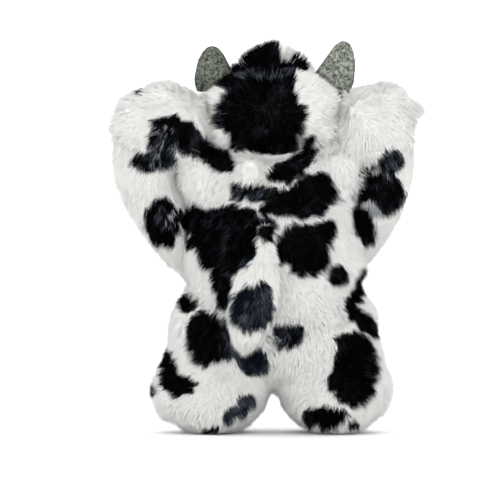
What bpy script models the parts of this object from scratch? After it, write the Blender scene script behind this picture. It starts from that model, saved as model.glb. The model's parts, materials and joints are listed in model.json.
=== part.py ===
"""Plush cow: an upright stuffed toy of black and white faux fur.

It stands on two padded feet, with its back to -Y and its face to +Y. The arms
bend at the elbows, and the paws meet in front of the belly. Every stuffed part
is a sewn skin with its own filling, and turns at the seam that holds it.
Lengths are in metres, +Z is up, and the origin is under the middle of the toy.
"""

import math

import bpy
import bmesh
from mathutils import Matrix, Vector
from mathutils.bvhtree import BVHTree

# Cloth, filling and clearances
SKIN = 0.0040                 # backing cloth with its pressed fur
GAP = 0.0003                  # between pieces that touch
FILL_GAP = 0.0005             # between a skin and its filling
BALL_GAP = 0.0011             # round the elbow ball, in its pocket
OPENING_RADIUS = 0.0060       # hole that each skin was turned and filled through
OVERRUN = 0.060               # how far cutting bodies run past what they cut

# Where the toy stands, so that its box is centred over the origin
MIDDLE_X = 0.00896
MIDDLE_Y = -0.01092

# Torso
TORSO_WIDTH = 0.160
TORSO_DEPTH = 0.120
TORSO_LOW = 0.072
TORSO_HEIGHT = 0.180
TORSO_SIDES = 24
TORSO_HEIGHT_SHARES = (0.0, 0.05, 0.12, 0.20, 0.30, 0.42, 0.58, 0.72, 0.84, 0.92, 1.0, 1.05)
TORSO_WIDTH_SHARES = (0.15, 0.40, 0.58, 0.80, 0.95, 1.0, 0.99, 0.92, 0.86, 0.83, 0.68, 0.45)
TORSO_DEPTH_SHARES = (0.45, 0.70, 0.84, 0.93, 0.98, 1.0, 0.97, 0.90, 0.80, 0.72, 0.58, 0.35)
TORSO_POWER = 2.4             # superellipse: above 2 is fuller than an ellipse

# Hips and legs
HIP_HEIGHT = 0.085
THIGH_RADIUS = 0.044
THIGH_WIDTH = 0.0945
THIGH_SIDES = 32
LEG_SIDES = 20
LEG_POWER = 2.3
FOOT_WIDTH = 0.108
FOOT_LENGTH = 0.122
FOOT_FORWARD = 0.014          # how far the foot's middle lies in front of the hip
PELLET_HEIGHT = 0.020         # top of the weighting bag in the foot
THIGH_REACH_SHARES = (0.05, 0.10, 0.78, 0.90, 0.965, 1.0)
THIGH_RADIUS_SHARES = (0.93, 1.0, 1.0, 0.87, 0.54, 0.16)
LEG_HEIGHT_SHARES = (-0.006, 0.04, 0.11, 0.25, 0.45, 0.68, 0.88, 1.0)
LEG_WIDTH_SHARES = (0.36, 0.47, 0.65, 0.85, 0.97, 0.92, 0.82, 0.76)
LEG_DEPTH_SHARES = (0.70, 0.86, 0.95, 1.0, 0.93, 0.76, 0.67, 0.62)
LEG_FORWARD_SHARES = (1.0, 1.0, 1.0, 0.95, 0.70, 0.35, 0.10, 0.0)

# Arms
SHOULDER_SHARE = 0.775        # of half the torso's width
SHOULDER_DROP = 0.016         # below the top of the torso
ROOT_RADIUS = 0.026
ROOT_LENGTH = {"left": 0.014, "right": 0.002}
ROOT_TIP = 0.0030              # rounded end of the arm's root
ROOT_TIP_SHARE = 0.5
ROOT_END_SHARE = 0.93
ROOT_CLEARANCE = 0.0025
ARM_REACH = {"left": 0.084, "right": 0.066}
LOBE_MIDDLE_SHARE = 0.43
LOBE_DEPTH = 0.070
LOBE_HEIGHT = 0.072
LOBE_LIFT = 0.041             # middle of the upper arm above the shoulder
LOBE_BACK = 0.012
ELBOW_RADIUS = 0.031
ELBOW_LIFT = 0.016
ELBOW_OUT = 0.002             # elbow past the upper arm's end
ELBOW_SIDE_GAP = 0.0025       # more room beside the ball, where the forearm leans in
ARM_SIDES = 16
SOCKET_SIDES = 18
PAW_RADIUS = 0.027
PAW_SPACE = 0.004             # from the middle plane to each paw
PAW_FORWARD = 0.088
PAW_DROP = 0.112
FOREARM_X_SHARES = (1.0, 0.965, 0.84, 0.69, 0.51, 0.31, 0.0)
FOREARM_Y_SHARES = (0.0, 0.05, 0.16, 0.37, 0.60, 0.81, 1.0)
FOREARM_Z_SHARES = (0.0, 0.215, 0.42, 0.615, 0.77, 0.91, 1.0)
FOREARM_RADIUS_SHARES = (1.0, 0.97, 0.94, 0.91, 0.89, 0.87, 0.87)
BELLY_CLEARANCE = 0.0012
SWING_BACK = 0.009            # torso's way past the forearm as the arm swings forward
SWING_DOWN = 0.002

# Head
HEAD_DEPTH = 0.118
HEAD_HEIGHT = 0.082
HEAD_FORWARD = 0.008
HEAD_SIDE_CLEARANCE = 0.0010
HEAD_SIDES = 24
HEAD_POWER = 2.3
NECK_SINK = 0.0035            # height that the neck seam takes off the head

# Muzzle, nostrils and mouth
MUZZLE_WIDTH = 0.066
MUZZLE_DEPTH = 0.052
MUZZLE_HEIGHT = 0.044
MUZZLE_DROP = 0.014           # below the middle of the head
MUZZLE_SIDES = 18
NOSTRIL_WIDTH = 0.010
NOSTRIL_HEIGHT = 0.007
NOSTRIL_THICKNESS = 0.0044
NOSTRIL_SPACING = 0.026
NOSTRIL_LIFT = 0.005
NOSTRIL_SIDES = 10
MOUTH_WIDTH = 0.030
MOUTH_DROP = 0.007
MOUTH_RISE = 0.004
THREAD_RADIUS = 0.0008
MOUTH_POINTS = 11
THREAD_SIDES = 5

# Eyes
EYE_SPACING = 0.050
EYE_LIFT = 0.013
EYE_RADIUS = 0.0065
EYE_HEIGHT = 0.0050
EYE_SIDES = 14
EYE_DOME_ANGLES = (82.0, 58.0, 32.0, 6.0)
SHANK_RADIUS = 0.0020
SHANK_LENGTH = 0.0130
WASHER_RADIUS = 0.0065
WASHER_THICKNESS = 0.0016
WASHER_SEAT = 0.0010          # room for the skin's curve over the washer

# Ears
EAR_LENGTH = 0.052
EAR_WIDTH = 0.034
EAR_THICKNESS = 0.018
EAR_ANGLE = 38.0              # degrees forward of the side of the head
EAR_OUT_SHARE = 1.03
EAR_SIDES = 14

# Horns
HORN_HEIGHT = {"left": 0.039, "right": 0.0445}
HORN_WIDTH = {"left": 0.037, "right": 0.035}
HORN_ANGLE = {"left": 0.5, "right": 12.5}
HORN_THICKNESS = 0.017
HORN_X_SHARE = 0.90
HORN_BASE_DROP = 0.022
HORN_SIDES = 12
FELT = 0.0022
HORN_HEIGHT_SHARES = (0.0, 0.13, 0.27, 0.48, 0.69, 0.85, 0.95, 1.0)
HORN_WIDTH_SHARES = (0.72, 0.90, 1.0, 0.84, 0.67, 0.49, 0.31, 0.13)
HORN_INWARD_SHARES = (0.0, 0.04, 0.07, 0.03, 0.0, 0.0, 0.0, 0.0)

# Forelock
FORELOCK_WIDTH = 0.062
FORELOCK_DEPTH = 0.058
FORELOCK_HEIGHT = 0.056
FORELOCK_LEFT = 0.0015
FORELOCK_FORWARD = 0.006
FORELOCK_LIFT = 0.025         # top of the tuft above the top of the head
FORELOCK_SIDES = 18

# Tail
TAIL_LEFT = 0.008
TAIL_ROOT_HEIGHT = 0.182
TAIL_LENGTH = 0.106
TAIL_WIDTH = 0.042
TAIL_THICKNESS = 0.036
TAIL_SWAY = 0.017             # how far the tuft hangs to the left of its root
TAIL_BALL_RADIUS = 0.0065
TAIL_BALL_GAP = 0.0006
TAIL_NECK_RADIUS = 0.0030      # from the ball into the tuft
TAIL_NECK_SHARE = 0.12
TAIL_SPACE = 0.0008
TAIL_SIDES = 14
TAIL_SKIN = 0.0025
TAIL_BACK_SHARE = 0.82        # of its half thickness, from its middle to its flat front
TAIL_OPENING_SHARE = 0.55     # of its length, down from its root
TAIL_HEIGHT_SHARES = (0.0, 0.10, 0.25, 0.42, 0.60, 0.76, 0.90, 0.97, 1.0)
TAIL_WIDTH_SHARES = (0.28, 0.46, 0.72, 0.92, 1.0, 0.93, 0.66, 0.36, 0.12)

DOME_ANGLES = (28.0, 55.0, 78.0)
ROD_SIDES = 12

SIDE_SHARES = {"left": -1.0, "right": 1.0}
UPRIGHT_SHARE = 0.9           # a direction steeper than this is taken as upright

# Places that several pieces share
NECK_HEIGHT = TORSO_LOW + TORSO_HEIGHT
SHOULDER_X = SHOULDER_SHARE * TORSO_WIDTH / 2
SHOULDER_HEIGHT = NECK_HEIGHT - SHOULDER_DROP
ELBOW_HEIGHT = SHOULDER_HEIGHT + ELBOW_LIFT
HEAD_HALF_WIDTH = SHOULDER_X - HEAD_SIDE_CLEARANCE
HEAD_MIDDLE_HEIGHT = NECK_HEIGHT + HEAD_HEIGHT / 2 - NECK_SINK
HEAD_TOP = HEAD_MIDDLE_HEIGHT + HEAD_HEIGHT / 2

WHITE_FUR = (0.86, 0.86, 0.83, 1.0)
BLACK_FUR = (0.012, 0.014, 0.022, 1.0)
MUZZLE_PLUSH = (0.74, 0.55, 0.50, 1.0)
FELT_GREY = (0.17, 0.18, 0.155, 1.0)
FIBRE_WHITE = (0.90, 0.90, 0.88, 1.0)
PELLET_CLOTH = (0.60, 0.60, 0.56, 1.0)
EYE_BLACK = (0.010, 0.009, 0.009, 1.0)
WASHER_WHITE = (0.80, 0.80, 0.78, 1.0)
THREAD_DARK = (0.06, 0.045, 0.045, 1.0)


def clear_scene():
    """Start from an empty scene."""
    for item in list(bpy.data.objects):
        bpy.data.objects.remove(item)


def material(name, colour, roughness):
    """A plain Principled material."""
    made = bpy.data.materials.new(name)
    made.use_nodes = True
    shader = made.node_tree.nodes["Principled BSDF"]
    shader.inputs["Base Color"].default_value = colour
    shader.inputs["Roughness"].default_value = roughness
    shader.inputs["Metallic"].default_value = 0.0
    made.diffuse_color = colour
    return made


# Forms in mesh code

def signed_power(value, exponent):
    """Power that keeps the sign, for a superellipse."""
    return math.copysign(abs(value) ** exponent, value)


def ring_points(ring, sides, power):
    """Points of one superellipse; a ring is (centre, half across, half over)."""
    centre, across, over = ring
    points = []
    for index in range(sides):
        angle = 2 * math.pi * index / sides
        points.append(centre
                      + across * signed_power(math.cos(angle), 2 / power)
                      + over * signed_power(math.sin(angle), 2 / power))
    return points


def loft(rings, sides, power=2.0):
    """Closed body through a row of rings, with a small cap on each end."""
    body = bmesh.new()
    rows = [[body.verts.new(point) for point in ring_points(ring, sides, power)] for ring in rings]
    for low, high in zip(rows, rows[1:]):
        for index in range(sides):
            after = (index + 1) % sides
            body.faces.new((low[index], low[after], high[after], high[index]))
    body.faces.new(tuple(reversed(rows[0])))
    body.faces.new(rows[-1])
    face_out(body)
    return body


def face_out(body):
    """Turn a closed body's faces outwards."""
    bmesh.ops.recalc_face_normals(body, faces=body.faces)
    if body.calc_volume(signed=True) < 0:
        bmesh.ops.reverse_faces(body, faces=body.faces)


def upright_form(rows, sides, power):
    """Body stacked along Z from rows of (height, x, y, half width, half depth)."""
    rings = []
    for height, x, y, half_width, half_depth in rows:
        rings.append((Vector((x, y, height)), Vector((half_width, 0, 0)), Vector((0, half_depth, 0))))
    return loft(rings, sides, power)


def ellipsoid(centre, semi, sides, power=2.0):
    """Rounded body with its poles along Z."""
    count = sides // 2
    rings = []
    for index in range(count + 1):
        polar = math.pi * (index + 0.45) / (count + 0.9)
        ring_share = abs(math.sin(polar)) ** (2 / power)
        height = -signed_power(math.cos(polar), 2 / power)
        rings.append((centre + Vector((0, 0, semi.z * height)),
                      Vector((semi.x * ring_share, 0, 0)),
                      Vector((0, semi.y * ring_share, 0))))
    return loft(rings, sides, power)


def turned_about_x(profile, sides, centre):
    """Body turned about an X axis from (x, radius) pairs."""
    rings = [(centre + Vector((x, 0, 0)), Vector((0, radius, 0)), Vector((0, 0, radius)))
             for x, radius in profile]
    return loft(rings, sides)


def swept_limb(points, radii, sides):
    """Round limb along a smooth line, with a dome on each end."""
    count = len(points)
    tangents = []
    for index in range(count):
        before = points[max(index - 1, 0)]
        after = points[min(index + 1, count - 1)]
        tangents.append((after - before).normalized())
    rings = []

    def add_ring(centre, tangent, radius):
        across = tangent.cross(Vector((0, 1, 0))).normalized()
        over = across.cross(tangent).normalized()
        rings.append((centre, across * radius, over * radius))

    for degrees in reversed(DOME_ANGLES):
        angle = math.radians(degrees)
        add_ring(points[0] - tangents[0] * radii[0] * math.sin(angle), tangents[0],
                 radii[0] * math.cos(angle))
    for point, tangent, radius in zip(points, tangents, radii):
        add_ring(point, tangent, radius)
    for degrees in DOME_ANGLES:
        angle = math.radians(degrees)
        add_ring(points[-1] + tangents[-1] * radii[-1] * math.sin(angle), tangents[-1],
                 radii[-1] * math.cos(angle))
    return loft(rings, sides)


def drawn_in(body, distance):
    """Move a closed body's surface inwards by a distance, or out if negative."""
    body.normal_update()
    shifts = [vert.normal * (distance * vert.calc_shell_factor()) for vert in body.verts]
    for vert, shift in zip(body.verts, shifts):
        vert.co -= shift
    bmesh.ops.triangulate(body, faces=body.faces, quad_method="FIXED")
    return body


def cut_flat(body, point, normal):
    """Cut a closed body by a plane, take off the side of the normal, close it."""
    cut = bmesh.ops.bisect_plane(body, geom=body.verts[:] + body.edges[:] + body.faces[:],
                                 plane_co=point, plane_no=normal, clear_outer=True)
    edges = [item for item in cut["geom_cut"] if isinstance(item, bmesh.types.BMEdge)]
    if edges:
        bmesh.ops.contextual_create(body, geom=edges)
    face_out(body)
    return body


# Objects from forms

def to_object(name, body):
    """Object that holds a form, linked to the scene."""
    mesh = bpy.data.meshes.new(name)
    body.to_mesh(mesh)
    body.free()
    made = bpy.data.objects.new(name, mesh)
    bpy.context.scene.collection.objects.link(made)
    return made


def combine(target, body, operation):
    """Join or cut an object with a form, and keep the result as its mesh."""
    tool = to_object("tool", body)
    modifier = target.modifiers.new("combine", "BOOLEAN")
    modifier.operation = operation
    modifier.solver = "EXACT"
    modifier.object = tool
    graph = bpy.context.evaluated_depsgraph_get()
    graph.update()
    result = bpy.data.meshes.new_from_object(target.evaluated_get(graph))
    target.modifiers.clear()
    old = target.data
    target.data = result
    bpy.data.meshes.remove(old)
    old_tool = tool.data
    bpy.data.objects.remove(tool)
    bpy.data.meshes.remove(old_tool)
    return target


def take_out(target, body):
    """Cut a form out of an object."""
    return combine(target, body, "DIFFERENCE")


def join_on(target, body):
    """Join a form to an object."""
    return combine(target, body, "UNION")


def body_of(source):
    """Form that copies an object's mesh; the object is deleted."""
    body = bmesh.new()
    body.from_mesh(source.data)
    mesh = source.data
    bpy.data.objects.remove(source)
    bpy.data.meshes.remove(mesh)
    return body


def square_to(along):
    """Two directions at right angles to a direction and to each other."""
    helper = Vector((0, 0, 1)) if abs(along.z) < UPRIGHT_SHARE else Vector((1, 0, 0))
    across = along.cross(helper).normalized()
    return across, across.cross(along)


def rod(start, direction, length, radius, sides=ROD_SIDES):
    """Round rod from a point along a direction."""
    along = direction.normalized()
    across, over = square_to(along)
    rings = [(start, across * radius, over * radius),
             (start + along * length, across * radius, over * radius)]
    return loft(rings, sides)


def surface_hit(body, origin, direction):
    """Point and normal where a ray first meets a form."""
    tree = BVHTree.FromBMesh(body)
    place, normal, _, _ = tree.ray_cast(origin, direction)
    return place, normal


# Stuffed parts: each function gives the form drawn in by a depth, so that one
# shape serves the skin, the hollow inside it and the filling

def torso_form(depth, sides=TORSO_SIDES):
    """Full torso, before the hips, shoulders and neck are cut."""
    rows = []
    for height, width, thick in zip(TORSO_HEIGHT_SHARES, TORSO_WIDTH_SHARES, TORSO_DEPTH_SHARES):
        rows.append((TORSO_LOW + TORSO_HEIGHT * height, 0, 0,
                     TORSO_WIDTH / 2 * width, TORSO_DEPTH / 2 * thick))
    body = drawn_in(upright_form(rows, sides, TORSO_POWER), depth)
    return cut_flat(body, Vector((0, 0, NECK_HEIGHT - depth)), Vector((0, 0, 1)))


def tail_root():
    """Middle of the ball that the tail turns on, at the torso's back."""
    origin = Vector((-TAIL_LEFT, -TORSO_DEPTH, TAIL_ROOT_HEIGHT))
    body = torso_form(0)
    place, _ = surface_hit(body, origin, Vector((0, 1, 0)))
    body.free()
    return Vector((-TAIL_LEFT, place.y - TAIL_BALL_RADIUS / 2, TAIL_ROOT_HEIGHT))


def torso_object(name, depth, sides=TORSO_SIDES):
    """Torso with the hollows for thighs, arm roots and tail, drawn in by a depth."""
    made = to_object(name, torso_form(depth, sides))
    reach = THIGH_WIDTH + OVERRUN
    thigh_space = THIGH_RADIUS + GAP + depth
    made = take_out(made, turned_about_x(((-reach, thigh_space), (reach, thigh_space)),
                                         THIGH_SIDES, Vector((0, 0, HIP_HEIGHT))))
    root_space = ROOT_RADIUS + ROOT_CLEARANCE + depth
    for sign in SIDE_SHARES.values():
        face = SHOULDER_X - GAP / 2 - depth
        made = take_out(made, turned_about_x(((sign * face, root_space),
                                              (sign * (face + OVERRUN), root_space)),
                                             ARM_SIDES, Vector((0, 0, SHOULDER_HEIGHT))))
    ball_space = TAIL_BALL_RADIUS + TAIL_BALL_GAP + depth
    made = take_out(made, ellipsoid(tail_root(), Vector((ball_space, ball_space, ball_space)), TAIL_SIDES))
    return made


def thigh_form(sign, depth, sides=THIGH_SIDES):
    """Round top of the leg, turned about the hip's axis."""
    profile = []
    for reach, radius in zip(THIGH_REACH_SHARES, THIGH_RADIUS_SHARES):
        profile.append((sign * THIGH_WIDTH * reach, THIGH_RADIUS * radius))
    inner = (0.0, THIGH_RADIUS * THIGH_RADIUS_SHARES[0])
    return drawn_in(turned_about_x([inner] + profile, sides, Vector((0, 0, HIP_HEIGHT))), depth)


def leg_form(sign, depth, sides=LEG_SIDES):
    """Lower leg and foot, from the sole up into the thigh."""
    rows = []
    for height, width, thick, forward in zip(LEG_HEIGHT_SHARES, LEG_WIDTH_SHARES,
                                             LEG_DEPTH_SHARES, LEG_FORWARD_SHARES):
        rows.append((HIP_HEIGHT * height, sign * FOOT_WIDTH / 2, FOOT_FORWARD * forward,
                     FOOT_WIDTH / 2 * width, FOOT_LENGTH / 2 * thick))
    return drawn_in(upright_form(rows, sides, LEG_POWER), depth)


def leg_object(name, side, depth, coarse=False):
    """One leg, drawn in by a depth, with a flat sole and a flat inner face."""
    sign = SIDE_SHARES[side]
    share = 2 if coarse else 1
    made = to_object(name, thigh_form(sign, depth, THIGH_SIDES // share))
    made = join_on(made, leg_form(sign, depth, LEG_SIDES // share))
    body = body_of(made)
    inner_face = Vector((sign * (GAP + depth), 0, 0))
    body = cut_flat(body, inner_face, Vector((-sign, 0, 0)))
    body = cut_flat(body, Vector((0, 0, depth)), Vector((0, 0, -1)))
    return to_object(name, body)


def shoulder_place(side):
    """Point on the shoulder's axis, at the arm's flat face."""
    return Vector((SIDE_SHARES[side] * SHOULDER_X, 0, SHOULDER_HEIGHT))


def elbow_place(side):
    """Middle of the elbow's ball."""
    reach = SHOULDER_X + ARM_REACH[side] + ELBOW_OUT - ELBOW_RADIUS
    return Vector((SIDE_SHARES[side] * reach, 0, ELBOW_HEIGHT))


def upper_arm_object(name, side, depth, coarse=False):
    """Bulging upper arm with its root, drawn in by a depth."""
    sign = SIDE_SHARES[side]
    sides = ARM_SIDES // 2 if coarse else ARM_SIDES
    reach = ARM_REACH[side]
    middle = Vector((sign * (SHOULDER_X + reach * LOBE_MIDDLE_SHARE), -LOBE_BACK,
                     SHOULDER_HEIGHT + LOBE_LIFT))
    semi = Vector((reach * (1 - LOBE_MIDDLE_SHARE), LOBE_DEPTH / 2, LOBE_HEIGHT / 2))
    made = to_object(name, drawn_in(ellipsoid(middle, semi, sides, LEG_POWER), depth))
    if depth == 0:
        root_end = ROOT_LENGTH[side]
        root = ((0.0, ROOT_RADIUS), (sign * root_end, ROOT_RADIUS * ROOT_END_SHARE),
                (sign * (root_end + ROOT_TIP), ROOT_RADIUS * ROOT_TIP_SHARE))
        made = join_on(made, turned_about_x(root, sides, shoulder_place(side)))
    ball = ELBOW_RADIUS + BALL_GAP + depth
    ball_sides = ARM_SIDES if coarse else SOCKET_SIDES
    pocket = Vector((ball + ELBOW_SIDE_GAP, ball, ball))
    made = take_out(made, ellipsoid(elbow_place(side), pocket, ball_sides))
    body = cut_flat(body_of(made), Vector((sign * (SHOULDER_X + GAP / 2 + depth), 0, 0)),
                    Vector((-sign, 0, 0)))
    return to_object(name, body)


def forearm_object(name, side, depth, coarse=False):
    """Forearm and paw, drawn in by a depth, kept clear of the belly."""
    sign = SIDE_SHARES[side]
    sides = ARM_SIDES // 2 if coarse else ARM_SIDES
    elbow = elbow_place(side)
    end_x = PAW_SPACE + PAW_RADIUS
    rows = []
    for across, forward, drop, radius in zip(FOREARM_X_SHARES, FOREARM_Y_SHARES,
                                             FOREARM_Z_SHARES, FOREARM_RADIUS_SHARES):
        rows.append((sign * (end_x + (abs(elbow.x) - end_x) * across), PAW_FORWARD * forward,
                     elbow.z - PAW_DROP * drop, ELBOW_RADIUS * radius))
    points = [Vector(row[:3]) for row in rows]
    radii = [row[3] for row in rows]
    made = to_object(name, drawn_in(swept_limb(points, radii, sides), depth))
    for way in (Vector((0, 0, 0)), Vector((0, -SWING_BACK, -SWING_DOWN))):
        belly = torso_form(-BELLY_CLEARANCE - depth, TORSO_SIDES // (2 if coarse else 1))
        bmesh.ops.translate(belly, vec=way, verts=belly.verts)
        made = take_out(made, belly)
    return made


def head_form(depth, sides=HEAD_SIDES):
    """Head, drawn in by a depth, cut flat at the neck."""
    middle = Vector((0, HEAD_FORWARD, HEAD_MIDDLE_HEIGHT))
    semi = Vector((HEAD_HALF_WIDTH, HEAD_DEPTH / 2, HEAD_HEIGHT / 2))
    body = drawn_in(ellipsoid(middle, semi, sides, HEAD_POWER), depth)
    return cut_flat(body, Vector((0, 0, NECK_HEIGHT + GAP + depth)), Vector((0, 0, -1)))


def skin_and_filling(name, make, opening, skin=SKIN):
    """Sewn skin with its hollow and opening, and the filling inside it."""
    cover = make(name + "_skin", 0.0, False)
    hollow = make("hollow", skin, True)
    cover = take_out(cover, body_of(hollow))
    start, direction, length = opening
    cover = take_out(cover, rod(start, direction, length, OPENING_RADIUS))
    filling = make(name + "_filling", skin + FILL_GAP, True)
    return cover, filling


def dress(made, look, smooth=True):
    """Give an object its material and shading."""
    made.data.materials.clear()
    made.data.materials.append(look)
    for face in made.data.polygons:
        face.use_smooth = smooth
    if smooth:
        made.data.set_sharp_from_angle(angle=math.radians(35.0))
    return made


def empty_at(name, place):
    """Empty that marks a joint's axis."""
    made = bpy.data.objects.new(name, None)
    made.location = place
    bpy.context.scene.collection.objects.link(made)
    return made


def hang_on(pieces, holder):
    """Parent pieces to a joint's empty, where they are."""
    for piece in pieces:
        piece.parent = holder
        piece.data.transform(Matrix.Translation(-holder.location))


def build_torso(looks):
    """Torso skin and filling."""
    slit_height = HIP_HEIGHT + THIGH_RADIUS
    opening = (Vector((-TAIL_LEFT, -TORSO_DEPTH, slit_height)), Vector((0, 1, 0)),
               TORSO_DEPTH / 2 + SKIN * 2)
    cover, filling = skin_and_filling(
        "torso", lambda name, depth, coarse: torso_object(
            name, depth, TORSO_SIDES // 2 if coarse else TORSO_SIDES), opening)
    dress(cover, looks["fur"])
    dress(filling, looks["fibre"])
    return [cover, filling]


def build_leg(side, looks):
    """Leg skin, its filling and the weighting bag in the foot."""
    sign = SIDE_SHARES[side]
    opening = (Vector((sign * FOOT_WIDTH / 2, 0, HIP_HEIGHT + THIGH_RADIUS - SKIN * 2)),
               Vector((0, 0, 1)), SKIN * 3)
    cover, filling = skin_and_filling(
        "leg_" + side, lambda name, depth, coarse: leg_object(name, side, depth, coarse), opening)
    whole = bmesh.new()
    whole.from_mesh(filling.data)
    bag = cut_flat(whole, Vector((0, 0, PELLET_HEIGHT - FILL_GAP / 2)), Vector((0, 0, 1)))
    bag = to_object("foot_pellet_bag_" + side, bag)
    upper = cut_flat(body_of(filling), Vector((0, 0, PELLET_HEIGHT + FILL_GAP / 2)), Vector((0, 0, -1)))
    filling = to_object("leg_" + side + "_filling", upper)
    dress(cover, looks["fur"])
    dress(filling, looks["fibre"])
    dress(bag, looks["pellets"])
    return [cover, filling, bag]


def build_upper_arm(side, looks):
    """Upper arm skin and filling."""
    sign = SIDE_SHARES[side]
    inner_face = shoulder_place(side) + Vector((-sign * SKIN, -LOBE_BACK, LOBE_LIFT))
    opening = (inner_face, Vector((sign, 0, 0)), SKIN * 3)
    cover, filling = skin_and_filling(
        "upper_arm_" + side,
        lambda name, depth, coarse: upper_arm_object(name, side, depth, coarse), opening)
    dress(cover, looks["fur"])
    dress(filling, looks["fibre"])
    return [cover, filling]


def build_forearm(side, looks):
    """Forearm skin and filling."""
    top = elbow_place(side) + Vector((0, 0, ELBOW_RADIUS - SKIN * 2))
    cover, filling = skin_and_filling(
        "forearm_" + side,
        lambda name, depth, coarse: forearm_object(name, side, depth, coarse),
        (top, Vector((0, 0, 1)), SKIN * 3))
    dress(cover, looks["fur"])
    dress(filling, looks["fibre"])
    return [cover, filling]


def build_tail(looks):
    """Teardrop tail on its ball, flat where it lies against the back."""
    root = tail_root()
    front = -TORSO_DEPTH / 2 - TAIL_SPACE

    def make(name, depth, coarse):
        sides = TAIL_SIDES // 2 if coarse else TAIL_SIDES
        rows = []
        for height, width in zip(TAIL_HEIGHT_SHARES, TAIL_WIDTH_SHARES):
            half_thick = TAIL_THICKNESS / 2 * width
            rows.append((root.z - TAIL_LENGTH * height, root.x - TAIL_SWAY * height,
                         front - half_thick * TAIL_BACK_SHARE, TAIL_WIDTH / 2 * width, half_thick))
        if coarse:
            rows = rows[1:-1]
        body = drawn_in(upright_form(rows, sides, 2.0), depth)
        body = cut_flat(body, Vector((0, front - depth, 0)), Vector((0, 1, 0)))
        made = to_object(name, body)
        if depth > 0:
            return made
        top = Vector((root.x - TAIL_SWAY * TAIL_NECK_SHARE, front - TAIL_NECK_RADIUS,
                      root.z - TAIL_LENGTH * TAIL_NECK_SHARE))
        made = join_on(made, rod(root, top - root, (top - root).length, TAIL_NECK_RADIUS))
        ball = Vector((TAIL_BALL_RADIUS, TAIL_BALL_RADIUS, TAIL_BALL_RADIUS))
        return join_on(made, ellipsoid(root, ball, sides))

    middle = Vector((root.x - TAIL_SWAY * TAIL_OPENING_SHARE, front,
                     root.z - TAIL_LENGTH * TAIL_OPENING_SHARE))
    cover, filling = skin_and_filling(
        "tail", make, (middle + Vector((0, TAIL_SKIN, 0)), Vector((0, -1, 0)), TAIL_SKIN * 3), TAIL_SKIN)
    dress(cover, looks["fur"])
    dress(filling, looks["fibre"])
    return [cover, filling]


def eye_axis(side, head):
    """Place and outward direction of an eye on the head."""
    origin = Vector((SIDE_SHARES[side] * EYE_SPACING / 2, HEAD_DEPTH, HEAD_MIDDLE_HEIGHT + EYE_LIFT))
    return surface_hit(head, origin, Vector((0, -1, 0)))


def turned_along(profile, place, along, sides=EYE_SIDES):
    """Body turned about any axis from (radius, height) pairs."""
    across, over = square_to(along)
    rings = [(place + along * height, across * radius, over * radius) for radius, height in profile]
    return loft(rings, sides)


def build_eye(side, head, looks):
    """Eye with its shank, and the washer that locks it inside the head."""
    place, along = eye_axis(side, head)
    profile = []
    for degrees in EYE_DOME_ANGLES:
        angle = math.radians(degrees)
        profile.append((EYE_RADIUS * math.cos(angle), GAP * 2 + EYE_HEIGHT * math.sin(angle)))
    profile += [(EYE_RADIUS, GAP * 2), (SHANK_RADIUS, GAP), (SHANK_RADIUS, -SHANK_LENGTH)]
    eye = to_object("eye_" + side, turned_along(profile, place, along))
    top = -SKIN - WASHER_SEAT
    washer = to_object("eye_washer_" + side, turned_along(
        ((WASHER_RADIUS, top), (WASHER_RADIUS, top - WASHER_THICKNESS)), place, along))
    washer = take_out(washer, rod(place + along * SKIN, -along, SHANK_LENGTH * 2, SHANK_RADIUS + GAP))
    dress(eye, looks["eye"])
    dress(washer, looks["washer"])
    return [eye, washer]


def build_head(looks):
    """Head skin with the holes for the eyes, and its filling."""
    bottom = Vector((0, HEAD_FORWARD, NECK_HEIGHT - SKIN))
    cover, filling = skin_and_filling(
        "head", lambda name, depth, coarse: to_object(
            name, head_form(depth, HEAD_SIDES * 2 // 3 if coarse else HEAD_SIDES)),
        (bottom, Vector((0, 0, 1)), SKIN * 3))
    head = head_form(0)
    pieces = []
    for side in SIDE_SHARES:
        place, along = eye_axis(side, head)
        cover = take_out(cover, rod(place + along * SKIN, -along, SKIN * 4, SHANK_RADIUS + GAP))
        seat = place - along * (SKIN + WASHER_SEAT - GAP)
        cover = take_out(cover, rod(seat, -along, SKIN * 2, WASHER_RADIUS + GAP, EYE_SIDES))
        shank_space = SKIN + SHANK_LENGTH + FILL_GAP
        filling = take_out(filling, rod(place + along * SKIN, -along, shank_space,
                                        WASHER_RADIUS + FILL_GAP, EYE_SIDES))
        pieces += build_eye(side, head, looks)
    head.free()
    dress(cover, looks["fur"])
    dress(filling, looks["fibre"])
    return [cover, filling] + pieces


def muzzle_form(depth, sides=MUZZLE_SIDES):
    """Muzzle before the head is cut out of it, drawn in by a depth."""
    middle = Vector((0, HEAD_FORWARD + HEAD_DEPTH / 2, HEAD_MIDDLE_HEIGHT - MUZZLE_DROP))
    semi = Vector((MUZZLE_WIDTH / 2, MUZZLE_DEPTH / 2, MUZZLE_HEIGHT / 2))
    return drawn_in(ellipsoid(middle, semi, sides, HEAD_POWER), depth)


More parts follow.
